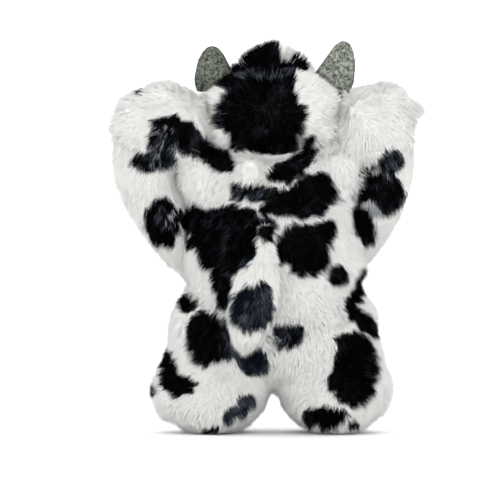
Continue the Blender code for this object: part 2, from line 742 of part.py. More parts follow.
def build_muzzle(looks):
    """Muzzle skin, its filling, two nostrils and a stitched mouth."""
    cover = to_object("muzzle_skin", muzzle_form(0))
    cover = take_out(cover, head_form(-GAP))
    cover = take_out(cover, muzzle_form(SKIN, MUZZLE_SIDES * 2 // 3))
    filling = to_object("muzzle_filling", muzzle_form(SKIN + FILL_GAP, MUZZLE_SIDES * 2 // 3))
    filling = take_out(filling, head_form(-GAP))
    face = muzzle_form(0)
    toward = Vector((0, -1, 0))
    far = HEAD_FORWARD + HEAD_DEPTH
    pieces = []
    for side, sign in SIDE_SHARES.items():
        origin = Vector((sign * NOSTRIL_SPACING / 2, far,
                         HEAD_MIDDLE_HEIGHT - MUZZLE_DROP + NOSTRIL_LIFT))
        place, _ = surface_hit(face, origin, toward)
        semi = Vector((NOSTRIL_WIDTH / 2, NOSTRIL_THICKNESS / 2, NOSTRIL_HEIGHT / 2))
        nostril = to_object("nostril_" + side, ellipsoid(place, semi, NOSTRIL_SIDES))
        nostril = take_out(nostril, muzzle_form(-GAP))
        pieces.append(dress(nostril, looks["thread"]))
    line = []
    for index in range(MOUTH_POINTS):
        share = 2 * index / (MOUTH_POINTS - 1) - 1
        origin = Vector((MOUTH_WIDTH / 2 * share, far,
                         HEAD_MIDDLE_HEIGHT - MUZZLE_DROP - MOUTH_DROP + MOUTH_RISE * share ** 2))
        place, normal = surface_hit(face, origin, toward)
        line.append(place + normal * (THREAD_RADIUS + GAP * 2))
    face.free()
    mouth = to_object("mouth_stitch", swept_limb(line, [THREAD_RADIUS] * len(line), THREAD_SIDES))
    dress(cover, looks["muzzle"])
    dress(filling, looks["fibre"])
    pieces.append(dress(mouth, looks["thread"]))
    return [cover, filling] + pieces


def build_ear(side, looks):
    """Soft ear that hangs against the cheek."""
    sign = SIDE_SHARES[side]
    angle = math.radians(EAR_ANGLE)
    place = Vector((sign * HEAD_HALF_WIDTH * EAR_OUT_SHARE * math.cos(angle),
                    HEAD_FORWARD + HEAD_DEPTH / 2 * EAR_OUT_SHARE * math.sin(angle),
                    HEAD_MIDDLE_HEIGHT))
    semi = Vector((EAR_THICKNESS / 2, EAR_WIDTH / 2, EAR_LENGTH / 2))
    body = ellipsoid(Vector((0, 0, 0)), semi, EAR_SIDES)
    turn = Matrix.Rotation(sign * angle, 4, "Z")
    bmesh.ops.transform(body, matrix=Matrix.Translation(place) @ turn, verts=body.verts)
    ear = take_out(to_object("ear_" + side, body), head_form(-GAP))
    return dress(ear, looks["fur"])


def build_horn(side, looks):
    """Felt horn, rounded and a little flat, with its filling."""
    sign = SIDE_SHARES[side]
    base = Vector((sign * HEAD_HALF_WIDTH * HORN_X_SHARE, HEAD_FORWARD, HEAD_TOP - HORN_BASE_DROP))
    lean = Matrix.Rotation(math.radians(sign * HORN_ANGLE[side]), 4, "Y")

    def horn_body(depth, sides):
        rows = []
        for height, width, inward in zip(HORN_HEIGHT_SHARES, HORN_WIDTH_SHARES, HORN_INWARD_SHARES):
            across = -sign * HORN_WIDTH[side] * inward
            rows.append((HORN_HEIGHT[side] * height, across, 0, HORN_WIDTH[side] / 2 * width,
                         HORN_THICKNESS / 2 * math.sqrt(width)))
        body = drawn_in(upright_form(rows, sides, 2.0), depth)
        bmesh.ops.transform(body, matrix=Matrix.Translation(base) @ lean, verts=body.verts)
        return body

    cover = take_out(to_object("horn_" + side, horn_body(0, HORN_SIDES)), head_form(-GAP))
    cover = take_out(cover, horn_body(FELT, HORN_SIDES))
    filling = to_object("horn_" + side + "_filling", horn_body(FELT + FILL_GAP, HORN_SIDES))
    filling = take_out(filling, head_form(-GAP))
    dress(cover, looks["felt"])
    dress(filling, looks["fibre"])
    return [cover, filling]


def build_forelock(looks):
    """Tuft of long fur on top of the head, between the horns."""
    semi = Vector((FORELOCK_WIDTH / 2, FORELOCK_DEPTH / 2, FORELOCK_HEIGHT / 2))
    middle = Vector((-FORELOCK_LEFT, HEAD_FORWARD + FORELOCK_FORWARD, HEAD_TOP + FORELOCK_LIFT - semi.z))
    tuft = take_out(to_object("forelock", ellipsoid(middle, semi, FORELOCK_SIDES)), head_form(-GAP))
    for side in SIDE_SHARES:
        sign = SIDE_SHARES[side]
        wall = Vector((sign * (HEAD_HALF_WIDTH * HORN_X_SHARE - HORN_WIDTH[side] / 2), 0, 0))
        if abs(wall.x) < abs(middle.x + sign * semi.x):
            tuft = to_object("forelock", cut_flat(body_of(tuft), wall, Vector((sign, 0, 0))))
    return dress(tuft, looks["black_fur"])


def main():
    clear_scene()
    looks = {
        "fur": material("white_and_black_fur", WHITE_FUR, 0.95),
        "black_fur": material("black_fur", BLACK_FUR, 0.90),
        "muzzle": material("muzzle_plush", MUZZLE_PLUSH, 0.90),
        "felt": material("grey_felt", FELT_GREY, 0.95),
        "fibre": material("fibre_filling", FIBRE_WHITE, 1.0),
        "pellets": material("pellet_bag_cloth", PELLET_CLOTH, 0.90),
        "eye": material("black_eye", EYE_BLACK, 0.12),
        "washer": material("washer_plastic", WASHER_WHITE, 0.45),
        "thread": material("dark_thread", THREAD_DARK, 0.85),
    }
    middle = Vector((MIDDLE_X, MIDDLE_Y, 0))
    torso = empty_at("torso_frame", Vector((0, 0, 0)))
    hang_on(build_torso(looks), torso)

    neck = empty_at("neck_axis", Vector((0, HEAD_FORWARD, NECK_HEIGHT)))
    head = build_head(looks) + build_muzzle(looks) + [build_forelock(looks)]
    for side in SIDE_SHARES:
        head.append(build_ear(side, looks))
        head += build_horn(side, looks)
    hang_on(head, neck)
    neck.parent = torso

    for side in SIDE_SHARES:
        hip = empty_at("hip_axis_" + side, Vector((0, 0, HIP_HEIGHT)))
        hang_on(build_leg(side, looks), hip)
        hip.parent = torso
        shoulder = empty_at("shoulder_axis_" + side, shoulder_place(side))
        hang_on(build_upper_arm(side, looks), shoulder)
        shoulder.parent = torso
        elbow = empty_at("elbow_axis_" + side, elbow_place(side))
        hang_on(build_forearm(side, looks), elbow)
        elbow.parent = shoulder
        elbow.location = elbow_place(side) - shoulder_place(side)

    tail = empty_at("tail_axis", tail_root())
    hang_on(build_tail(looks), tail)
    tail.parent = torso
    torso.location = middle
    bpy.context.view_layer.update()


main()
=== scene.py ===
"""Looks of the plush cow: faux fur with black patches, felt horns and a plain face.

The toy's back faces -Y, where the camera stands. Every furry part has a smooth
body, made from its solid and drawn in by the depth of the pile, and a coat of
real strands that grow on it. Values are in metres in the row's frame, and in
millimetres where a name ends in _MM, in the parts' pile and fullness, and in
the places of patches, tufts and the pile's directions.
"""

import json
import math

import bmesh
import bpy
import numpy as np
from mathutils import Matrix, Vector, kdtree
from mathutils.bvhtree import BVHTree


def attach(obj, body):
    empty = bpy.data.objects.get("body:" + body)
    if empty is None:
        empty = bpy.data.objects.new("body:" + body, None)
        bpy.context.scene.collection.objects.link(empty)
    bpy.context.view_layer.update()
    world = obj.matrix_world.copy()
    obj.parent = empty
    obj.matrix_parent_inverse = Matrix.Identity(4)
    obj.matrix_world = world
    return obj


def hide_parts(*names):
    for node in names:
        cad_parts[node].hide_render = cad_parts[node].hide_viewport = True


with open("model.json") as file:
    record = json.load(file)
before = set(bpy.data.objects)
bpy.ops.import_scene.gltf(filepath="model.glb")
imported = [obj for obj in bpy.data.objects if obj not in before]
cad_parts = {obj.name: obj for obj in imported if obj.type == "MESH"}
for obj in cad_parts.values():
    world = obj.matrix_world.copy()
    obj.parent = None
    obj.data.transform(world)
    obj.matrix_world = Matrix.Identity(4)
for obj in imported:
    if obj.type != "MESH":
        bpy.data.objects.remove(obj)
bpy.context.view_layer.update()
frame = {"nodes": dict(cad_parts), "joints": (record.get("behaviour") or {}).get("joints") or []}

MM = 0.001
SEED = 7

# The toy's middle across, and the hips' axis along Y
joint_places = {joint["name"]: joint["pos_m"] for joint in frame["joints"]}
MIDDLE_X, MIDDLE_Y = joint_places["hip_left"][:2]

# Small values and waves
TINY = 1e-9
NUDGE = 1e-6                  # keeps a direction from being zero
WELD = 1e-6                   # points nearer than this are one
WAVE_COUNT = 7                # in one noise
WAVE_SPREAD_SHARES = (0.6, 1.6)

# Strands: tubes of three sides, bent once and pointed
STRAND_SIDES = 3
ROOT_RADIUS_MM = 0.24
BEND_RADIUS_MM = 0.195
NORMAL_SHARE = 0.72           # how far a strand's shading follows the body below it
ROOT_PLACE_SHARE = 0.45       # of its length, from root to bend
LENGTH_SPREAD_SHARES = (0.68, 1.17)
LEAN_JITTER = 11.0            # degrees
STANDING_SHARE = 0.5          # of its lean, where the pile's way runs into the surface
STEADY_SHARE = 0.7            # a way along the surface above this leans in full
TURN_JITTER = 0.24
CLUMP_TURN = 0.15
CLUMP_LEAN = 5.0              # degrees
SWIRLS = ((0.045, 0.30, 31), (0.016, 0.14, 32))    # a wave's length, its height and seed
TIP_JITTER = 0.12
DROOP = 0.10
GATHER_SPREAD_SHARES = (0.5, 1.0)
TIP_KEPT_SHARE = 0.35         # of its place in the clump, at a gathered tip
BEND_KEPT_SHARE = 0.75
BEND_PULL_SHARE = 0.4         # of a tip's gathering, at the bend
TIP_SHADE_SHARE = 0.3
TUFT_RAMP_SHARES = (1.0, 0.2)
CELL_SHARES = (0.15, 0.5, 0.85)
MOST_STRANDS = 22000          # in one piece
FLOOR_SPACE_MM = 0.5

# Fur at seams is longer and stands up, so that it closes over them
SEAM_REACH_MM = 9.0
SEAM_LENGTH_SHARE = 0.35
SEAM_LIFT = 14.0              # degrees
ROOT_LIFT_SHARE = 0.5
HIDDEN_ROOT_MM = 0.3          # nearer than this to another body, a covered root isn't seen

# Colours
WHITE = (0.875, 0.88, 0.855)
BLACK = (0.0006, 0.0007, 0.0010)
# Lighter strands in the black fur: a painted sheen highlight, placed by random tone and the sheen wave
CHARCOAL_SHEEN_HIGHLIGHT = (0.028, 0.031, 0.042)
SLATE = (0.004, 0.006, 0.010)
# Lighter blue-grey: near the tail a painted sheen highlight, and the light tufts of mixed patches
SLATE_LIGHT = (0.095, 0.110, 0.140)
GREY_WHITE = (0.42, 0.43, 0.44)
MUZZLE_PINK = (0.66, 0.43, 0.39)
ROOT_PAINTED_SHADE_SHARES = {False: 0.90, True: 0.55}       # painted shade at the strands' roots, where the pile shades itself: the share kept of white and of dark fur
# Painted shade on the bodies under the pile, which lie in the fur's shade: the share kept of white and of
# dark
BODY_PAINTED_SHADE_SHARES = {False: 0.85, True: 0.6}

# Tones: each strand has a tone from 0 to 1, partly its tuft's and partly its own
CHANCE_SHARES = (0.7, 0.3)    # the tuft's and its own, in turning black in a mixed patch
TONE_SHARES = (0.5, 0.5)
EVEN_CHANCE = 0.5             # on the bodies, which have no tufts
BODY_TONE = 0.4
BLACK_FROM_SHARE = 0.05
BLACK_SPAN_SHARE = 0.9
WHITE_LOW_SHARE = 0.96
WHITE_RISE_SHARE = 0.05
SHEEN_WAVE = (0.030, 41)      # a wave's length and seed, for the painted sheen highlights in dark fur
# Painted sheen highlight in the black fur: a ramp over the strand's tone, and the sheen wave's share in it
SHEEN_HIGHLIGHT_RAMP = (0.74, 1.2)
SHEEN_HIGHLIGHT_WAVE = 0.22
# Painted sheen highlight on the blue-grey spot near the tail: a ramp over tone, and the sheen wave's share
# in it
SLATE_RAMP = (0.45, 1.1)
SLATE_SHEEN = 0.25
MIXED_SHARES = (0.25, 0.98)   # of black, between which a patch is mixed
LIT_RAMP = (0.45, 1.0)
GREY_TUFT_SHARE = 0.8         # of the tufts in mixed patches, whose white is grey
GREY_LOW_SHARE = 0.45
GREY_RISE_SHARE = 0.9

# Finish of each material
WHITE_PILE = {"roughness": 0.85, "specular": 0.20, "variation": 0.02}
BLACK_PILE = {"roughness": 0.60, "specular": 0.01, "variation": 0.35}
PILE_NOISE = (90.0, 3.0)      # scale and detail
SPECKLE_NOISE = (5.0, 0.8)    # detail and distortion
BUMP_STRENGTH = 0.5
EYE_LOOK = {"low": (0.006, 0.005, 0.005), "high": (0.014, 0.012, 0.012), "scale": 30.0,
            "roughness": 0.08, "specular": 0.06, "relief": 0.00002}
THREAD_LOOK = {"low": (0.03, 0.02, 0.02), "high": (0.09, 0.06, 0.06), "scale": 900.0, "roughness": 0.8}
WASHER_LOOK = {"low": (0.72, 0.72, 0.70), "high": (0.84, 0.84, 0.82), "scale": 60.0, "roughness": 0.5}

# Horns
HORN_TONES = {
    "left": {"low": (0.028, 0.032, 0.025), "high": (0.145, 0.16, 0.132)},
    "right": {"low": (0.050, 0.056, 0.045), "high": (0.27, 0.285, 0.25)},
}
FELT_LOOK = {"scale": 350.0, "roughness": 0.95, "specular": 0.15, "relief": 0.0006, "edges": (0.38, 0.62)}
HORN_VOXEL = 0.0016
FELT_NAP_MM = 1.1

# Studio: the camera's place is from the toy's middle across, and along Y from the hips
BACKDROP_COLOUR = (1.0, 1.0, 1.0, 1.0)
BACKDROP_STRENGTH = 1.40
FLOOR_HALF_WIDTH = 8.0
FLOOR_COLOUR = (0.92, 0.92, 0.92, 1.0)
FLOOR_ROUGHNESS = 0.9
FLOOR_SPECULAR = 0.1
LIGHTS = {                    # place and power
    "key": ((-1.0, -1.8, 0.45), 10.0),
    "fill": ((0.9, -1.9, 0.10), 17.0),
    "rear": ((0.3, 1.6, 1.6), 6.0),
}
LIGHT_SIZE = 1.2
LIGHT_GOAL_HEIGHT = 0.17
WIDTH_SEEN = 0.450
CAMERA_ACROSS = -0.02115
CAMERA_DISTANCE = 3.0
CAMERA_HEIGHT = 0.1647
SENSOR_WIDTH_MM = 36.0
FARTHEST_SEEN = 60.0

# Furry parts: the body each rides on, the solids it stands for, and its pile.
# depth: how far the body lies below the solid; root and tip: a strand's lean from
# the surface's normal in degrees; per_mm2: strands to a square millimetre; clump:
# a tuft's width; gather: how far its tips draw together
LONG_PILE = {"depth": 6.4, "length": 10.0, "root": 24, "tip": 52, "per_mm2": 0.93,
             "clump": 5.0, "gather": 0.22}
ARM_PILE = dict(LONG_PILE, length=9.5, depth=5.8, root=29, tip=60, per_mm2=0.85)
EAR_PILE = dict(LONG_PILE, depth=3.0, length=6.5, root=40, tip=75, clump=4.0)
PARTS = {
    "torso": dict(LONG_PILE, body="torso", nodes=("torso_skin", "torso_filling")),
    "head": dict(LONG_PILE, body="head", nodes=("head_skin", "head_filling"), length=9.0, depth=5.0),
    "upper_arm_left": dict(LONG_PILE, body="arm_left",
                           nodes=("upper_arm_left_skin", "upper_arm_left_filling")),
    "upper_arm_right": dict(LONG_PILE, body="arm_right",
                            nodes=("upper_arm_right_skin", "upper_arm_right_filling")),
    "forearm_left": dict(ARM_PILE, body="forearm_left", nodes=("forearm_left_skin", "forearm_left_filling")),
    "forearm_right": dict(ARM_PILE, body="forearm_right",
                          nodes=("forearm_right_skin", "forearm_right_filling")),
    "leg_left": dict(LONG_PILE, body="leg_left",
                     nodes=("leg_left_skin", "leg_left_filling", "foot_pellet_bag_left")),
    "leg_right": dict(LONG_PILE, body="leg_right",
                      nodes=("leg_right_skin", "leg_right_filling", "foot_pellet_bag_right")),
    "tail": dict(LONG_PILE, body="tail", nodes=("tail_skin", "tail_filling"),
                 depth=3.5, length=10.0, root=42, tip=74, per_mm2=1.05),
    "ear_left": dict(EAR_PILE, body="head", nodes=("ear_left",)),
    "ear_right": dict(EAR_PILE, body="head", nodes=("ear_right",)),
    "forelock": dict(LONG_PILE, body="head", nodes=("forelock",),
                     depth=11.0, length=13.0, root=14, tip=42, per_mm2=1.2, clump=6.0, gather=0.68),
    "muzzle": dict(LONG_PILE, body="head", nodes=("muzzle_skin", "muzzle_filling"),
                   depth=1.6, length=3.0, root=30, tip=65, per_mm2=1.4, clump=3.0),
}
THIN_PARTS = ("ear_left", "ear_right", "muzzle", "tail", "forelock")
VOXEL_MM = 4.0
THIN_VOXEL_MM = 2.5
SMOOTH_ROUNDS = 12
RELAX_SHARE = 0.5
SWELL_BACK = 1.03             # every second round swells by this much more than it relaxes
BALL_DETAIL = 3
CONTACT_REACH = 0.012
CONTACT_RAMP = (0.0008, 0.008)
CONTACT_DEPTH_SHARES = (0.20, 0.80)                # of the pile's depth, at a contact and added away from it
BODY_LUMPS = ((0.055, 0.9, 21), (0.024, 0.45, 22))    # a wave's length, its height in mm and seed
CLEAR_SEARCH = 0.04

# Fullness of the sewn forms beyond the plain solids: centre from the toy's
# middle, and half sizes
FULLER = {
    "torso": (
        (-50, 0, 246, 22, 34, 16),
        (50, 0, 246, 22, 34, 16),
        (0, -22, 240, 48, 24, 14),
        (-60, -16, 228, 21, 20, 30),
        (60, -17, 238, 19, 20, 26),
        (-21, -46, 234, 16, 14, 18),
        (72, -6, 147, 11, 24, 15),
    ),
    "head": (
        (-44, 8, 271, 17, 42, 17),
        (44, 8, 271, 17, 42, 17),
        (-47, 4, 298, 15, 36, 13),
        (48, 4, 296, 15, 36, 14),
    ),
    "upper_arm_left": (
        (-98, -12, 302, 24, 30, 14.5),
        (-78, -8, 298, 17, 30, 11),
        (-72, -12, 276, 16, 30, 16),
    ),
    "upper_arm_right": (
        (98, -12, 301, 24, 30, 14.5),
        (78, -8, 298, 17, 30, 11),
        (72, -12, 276, 16, 30, 16),
    ),
    "leg_left": (
        (-93, 2, 36, 18, 34, 26),
    ),
    "leg_right": (
        (92, 2, 40, 17, 34, 26),
    ),
}
NEIGHBOUR_SPACE_MM = 0.6

# Patches on the back: place across from the middle and height of the centre,
# half width, half height, turn in degrees, and strength: 1 is black, 0 white, and
# between them tufts of both. Later ones lie over earlier ones
WAIST_STRIP = (78.5, 132.5, 6.4, 27, -30, 1)
SIDE_WEDGE = (81, 188, 11, 21, 18, 1)
SIDE_GAP = (88.5, 202.5, 13, 2.6, -30, 0.3)
RIGHT_ELBOW = (
    (104, 244, 12.5, 11, 0, 0.97),
    (98.5, 216, 19.5, 19, 0, 1),
    (84.5, 222, 12, 19, 0, 1),
    (92.5, 236, 13, 4, -30, 0.35),
)
ELBOW_FRINGE = (-107, 244, 21.5, 9.5, 4, 0.85)
BACK_PATCHES = {
    "head": (
        (-11.2, 283, 39.4, 41.3, 0, 1),
        (-24, 322, 30, 16, 0, 1),
        (-2, 322, 24, 14, 0, 1),
        (27, 309, 10, 17, 0, 0),
        (25, 329, 7, 7, -30, 1),
        (-8, 322.5, 27, 6, 4, 0.93),
        (-52, 260, 11, 12, -40, 0),
        (30.5, 260, 5.3, 8.5, -30, 1),
        (64, 303, 8, 4.2, -28, 1),
        (64.5, 284, 2.5, 12, 0, 0.9),
    ),
    "upper_arm_right": (
        *RIGHT_ELBOW,
    ),
    "upper_arm_left": (
        (-85, 270.5, 25, 11.5, -20, 1),
        (-58, 251.5, 24, 11.5, -38, 1),
        (-80, 253.5, 6, 4, -38, 1),
        (-99, 260, 14, 16.5, 0, 0.72),
        ELBOW_FRINGE,
        (-120, 309, 3.5, 4, 0, 0.9),
    ),
    "forearm_left": (
        (-98, 192, 18, 18, 0, 1),
        (-96, 193.5, 12, 9, 0, 0.78),
        (-99.5, 176, 12, 10, 0, 1),
        (-74.5, 193, 6, 14, 8, 1),
        ELBOW_FRINGE,
    ),
    "torso": (
        (-50, 247, 20, 10.5, -38, 1),
        (-8, 256, 27, 6, 0, 1),
        (26.3, 250, 8.3, 18.5, -26, 1),
        (10, 233.5, 18, 8.5, 8, 1),
        (-27, 219, 12.5, 5.5, -10, 0.9),
        (-34, 213, 7, 6.5, 0, 0.9),
        (-8, 213.5, 17, 7, 5, 0.93),
        (27, 210, 33, 16.5, 13, 1),
        (38, 222, 16, 12, 0, 1),
        (-6, 201, 8, 5.5, 0, 1),
        (-43.5, 173, 28.5, 29, -14, 1),
        (-68, 175, 9.5, 13, -15, 1),
        (-69.5, 192, 11, 15.5, 10, 1),
        (-39, 194.5, 26, 10, 0, 1),
        (-12, 186.5, 15, 9, 0, 0.97),
        (-25, 166, 15, 21, -25, 1),
        (-26, 155, 6, 14, -25, 1),
        (-46, 130, 9.5, 19.5, 8, 1),
        (26.3, 164, 26.7, 24.5, 0, 1),
        (46, 182, 11.5, 11, 0, 1),
        (10, 147, 5, 6, 0, 0),
        (57, 142.8, 9, 9.3, 0, 1),
        (14.5, 88.5, 15, 11.5, 15, 0.95),
        WAIST_STRIP,
        SIDE_WEDGE,
        SIDE_GAP,
        (-21, 236, 12.5, 15, 0, 0),
    ),
    "forearm_right": (
        *RIGHT_ELBOW,
        SIDE_WEDGE,
        SIDE_GAP,
        WAIST_STRIP,
    ),
    "leg_right": (
        (80, 101.5, 7.5, 20, 42, 1),
        WAIST_STRIP,
        (73, 60.5, 20.5, 32, 3, 1),
        (62.5, 84.5, 8.5, 8, 0, 1),
        (72, 41, 18, 15, 0, 1),
        (57, 47, 11, 10, 0, 1),
        (46.3, 16, 20, 10, 0, 1),
        (14.5, 88.5, 15, 11.5, 15, 0.95),
        (71, 10, 4, 4, 0, 1),
    ),
    "leg_left": (
        (-75.7, 118.5, 8, 9, 0, 1),
        (-54.3, 87.3, 25, 24.5, 0, 1),
        (-47, 103, 12, 6, -10, 1),
        (-34, 82, 6, 22, 22, 1),
        (-20, 66, 17, 12.5, -38, 1),
        (-92, 55.5, 10.3, 22, 14, 1),
        (-84, 44.5, 14.5, 9.5, -10, 1),
        (-31.5, 22, 18, 8.5, 38, 1),
        (-56, 5, 7, 4, 0, 1),
        (-110, 40, 6, 6, 0, 1),
    ),
    "tail": (
        (-19.3, 114, 18.5, 20, 0, 1),
        (-8, 129, 6, 10, 15, 0.97),
        (-7, 183.5, 16, 9.5, 0, 1),
        (-27.5, 158, 7.5, 20, -32, 1),
    ),
}

# Patches on the front, which the photograph doesn't show
FRONT_PATCHES = {
    "head": (
        (-36, 300, 20, 26, 0, 1),
        (38, 304, 16, 20, 0, 1),
    ),
    "torso": (
        (-44, 205, 24, 22, 0, 1),
        (40, 150, 22, 26, 15, 1),
        (-20, 110, 18, 12, 0, 1),
    ),
    "upper_arm_right": (
        (100, 280, 20, 18, 0, 1),
    ),
    "forearm_left": (
        (-60, 165, 26, 20, 0, 1),
        (-122, 228, 14, 22, 0, 1),
    ),
    "forearm_right": (
        (40, 150, 20, 18, 0, 1),
    ),
    "leg_left": (
        (-62, 40, 26, 24, 20, 1),
        (-30, 104, 16, 12, 0, 1),
    ),
    "leg_right": (
        (36, 62, 18, 22, -20, 1),
        (84, 104, 16, 14, 0, 1),
    ),
    "ear_left": (
        (-50, 288, 30, 40, 0, 1),
    ),
}
# Longer and shorter tufts: place across and height, reach, and how much longer the pile is
TUFTS = {
    "upper_arm_right": ((117, 294, 11, 1.5), (90, 316, 22, 0.12), (130, 262, 24, -0.3)),
    "upper_arm_left": ((-100, 318, 22, 0.1), (-148, 288, 16, -0.3), (-130, 300, 10, 0.3)),
    "forearm_right": ((128, 244, 34, -0.35),),
    "torso": ((86, 150, 14, 0.4),),
    "tail": ((-25, 82, 14, 0.3), (-7, 186, 13, -0.6)),
    "leg_left": ((-112, 38, 10, 0.4), (-90, 125, 14, 0.4)),
    "leg_right": ((88, 112, 14, 0.3),),
    "forelock": ((-33, 340, 17, -0.7),),
}
# Locks in the black forelock: place across and height, half sizes, and share of black
FORELOCK_LOCKS = (
    (11.5, 344.5, 7.2, 10, 0.0),
    (-30, 330, 6, 6, 0.6),
)
PATCH_EDGE = (1.13, 0.87)     # from white to black across a patch's edge
SMALL_PATCH_MM = 5            # a patch with a half size up to this has a softer edge
SMALL_PATCH_EDGE = (1.3, 0.7)
EDGE_WAVES = ((0.026, 1.6, 11, 13), (0.010, 1.1, 12, 14))    # length, height in mm, seeds across and up
SLATE_REACH_MM = (34, 12)     # patches turn blue-grey near the tail, where lighter strands paint a sheen highlight
SLATE_X_MM = -20
SLATE_TOP_MM = 135

# Directions of the pile: centres are across from the middle and height
CROWN_CENTRE = (-5, 286)
CROWN_REACH_MM = (14, 3)
CROWN_WAY = (0.3, 0, -0.9)
MUZZLE_CENTRE = (0, 276)
FORELOCK_ROOT = (-0.004, 0.290)    # in metres
LOBE_CENTRE = (68, 300)
LOBE_WAY = (0, 0, -0.2)
FOREARM_OUT = 0.18
FOREARM_FORWARD = 0.25
LEG_OUT = 0.10
LEG_CENTRE_MM = 50
LEG_SPREAD = 0.012            # more for each mm from the leg's middle
TAIL_CENTRE_MM = -12
TAIL_SPREAD = 0.015
TORSO_TURN_MM = 20
TORSO_OUT = 0.45

random = np.random.default_rng(SEED)


# Small helpers

def unit(vectors):
    """Vectors of length 1, from an array of rows."""
    length = np.linalg.norm(vectors, axis=-1, keepdims=True)
    return vectors / np.maximum(length, TINY)


def smoothstep(low, high, value):
    """0 at low, 1 at high, and a smooth ramp between."""
    share = np.clip((value - low) / (high - low), 0.0, 1.0)
    return share * share * (3 - 2 * share)


def waves(places, size, seed):
    """Smooth noise of about -1 to 1 from a sum of waves; size is a wave's length."""
    local = np.random.default_rng(seed)
    total = np.zeros(len(places))
    for _ in range(WAVE_COUNT):
        direction = unit(local.normal(size=(1, 3)))[0]
        length = size * local.uniform(*WAVE_SPREAD_SHARES)
        total += np.sin(places @ direction * (2 * math.pi / length) + local.uniform(0, 2 * math.pi))
    return total / math.sqrt(WAVE_COUNT)


def summed_waves(places, table):
    """Sum of noises, each with its wave's length, its height and its seed."""
    return sum(waves(places, size, seed) * height for size, height, seed in table)


def toy_mm(places):
    """Places in millimetres: across from the middle, along Y from the hips, and height."""
    return (places - np.array((MIDDLE_X, MIDDLE_Y, 0.0))) / MM


def link(made):
    """Put an object in the scene."""
    bpy.context.scene.collection.objects.link(made)
    return made


def rows_of(items, field, width=3):
    """A field of a mesh's items, one row each."""
    values = np.empty(len(items) * width)
    items.foreach_get(field, values)
    return values.reshape(-1, width)


def evaluated_mesh(made):
    """Mesh that an object's modifiers give."""
    graph = bpy.context.evaluated_depsgraph_get()
    graph.update()
    return bpy.data.meshes.new_from_object(made.evaluated_get(graph))


def merged_solid(name, nodes, voxel, fuller=()):
    """One closed mesh over some solids and added fullness, with their hollows filled."""
    body = bmesh.new()
    for node in nodes:
        body.from_mesh(frame["nodes"][node].data)
    for x, y, z, half_x, half_y, half_z in fuller:
        place = Vector((x * MM + MIDDLE_X, y * MM + MIDDLE_Y, z * MM))
        size = Matrix.Diagonal((half_x * MM, half_y * MM, half_z * MM, 1))
        placed = Matrix.Translation(place) @ size
        bmesh.ops.create_icosphere(body, subdivisions=BALL_DETAIL, radius=1, matrix=placed)
    bmesh.ops.remove_doubles(body, verts=body.verts, dist=WELD)
    mesh = bpy.data.meshes.new(name)
    body.to_mesh(mesh)
    body.free()
    made = link(bpy.data.objects.new(name, mesh))
    modifier = made.modifiers.new("remesh", "REMESH")
    modifier.mode = "VOXEL"
    modifier.voxel_size = voxel
    result = evaluated_mesh(made)
    bpy.data.objects.remove(made)
    bpy.data.meshes.remove(mesh)
    return result


def smoothed(mesh, rounds):
    """Relax a mesh without shrinking it much."""
    places = rows_of(mesh.vertices, "co")
    pairs = rows_of(mesh.edges, "vertices", 2).astype(np.int64)
    count = np.bincount(pairs.ravel(), minlength=len(places))[:, None]
    for index in range(rounds):
        total = np.zeros_like(places)
        np.add.at(total, pairs[:, 0], places[pairs[:, 1]])
        np.add.at(total, pairs[:, 1], places[pairs[:, 0]])
        way = RELAX_SHARE if index % 2 == 0 else -RELAX_SHARE * SWELL_BACK
        places += way * (total / np.maximum(count, 1) - places)
    mesh.vertices.foreach_set("co", places.ravel())
    mesh.update()
    return mesh


def tree_of(mesh):
    """Search tree over a mesh."""
    places = [Vector(row) for row in rows_of(mesh.vertices, "co")]
    return BVHTree.FromPolygons(places, [tuple(face.vertices) for face in mesh.polygons])


def signed_distance(tree, places, reach):
    """Distance to a closed mesh, negative inside, and reach where it is farther."""
    result = np.full(len(places), reach)
    for index, place in enumerate(places):
        hit, normal, _, distance = tree.find_nearest(place, reach)
        if hit is not None:
            result[index] = distance if (Vector(place) - hit).dot(normal) >= 0 else -distance
    return result


def boxes_meet(first, second, margin):
    """Whether the boxes of two parts come within a margin."""
    low_a, high_a = PART_BOXES[first]
    low_b, high_b = PART_BOXES[second]
    return bool(np.all(np.maximum(low_a, low_b) - margin <= np.minimum(high_a, high_b)))


def nearest_other(part, trees, places, reach):
    """Distance from each place to the nearest other part."""
    near = np.full(len(places), reach)
    for other, tree in trees.items():
        if other != part and boxes_meet(part, other, reach):
            near = np.minimum(near, signed_distance(tree, places, reach))
    return near


def covered(part, trees, places, normals, reach):
    """Whether another part lies over each place."""
    result = np.zeros(len(places), bool)
    for other, tree in trees.items():
        if other != part and boxes_meet(part, other, reach):
            for index, (place, normal) in enumerate(zip(places, normals)):
                if not result[index]:
                    result[index] = tree.ray_cast(place, normal, reach)[0] is not None
    return result


# Patches

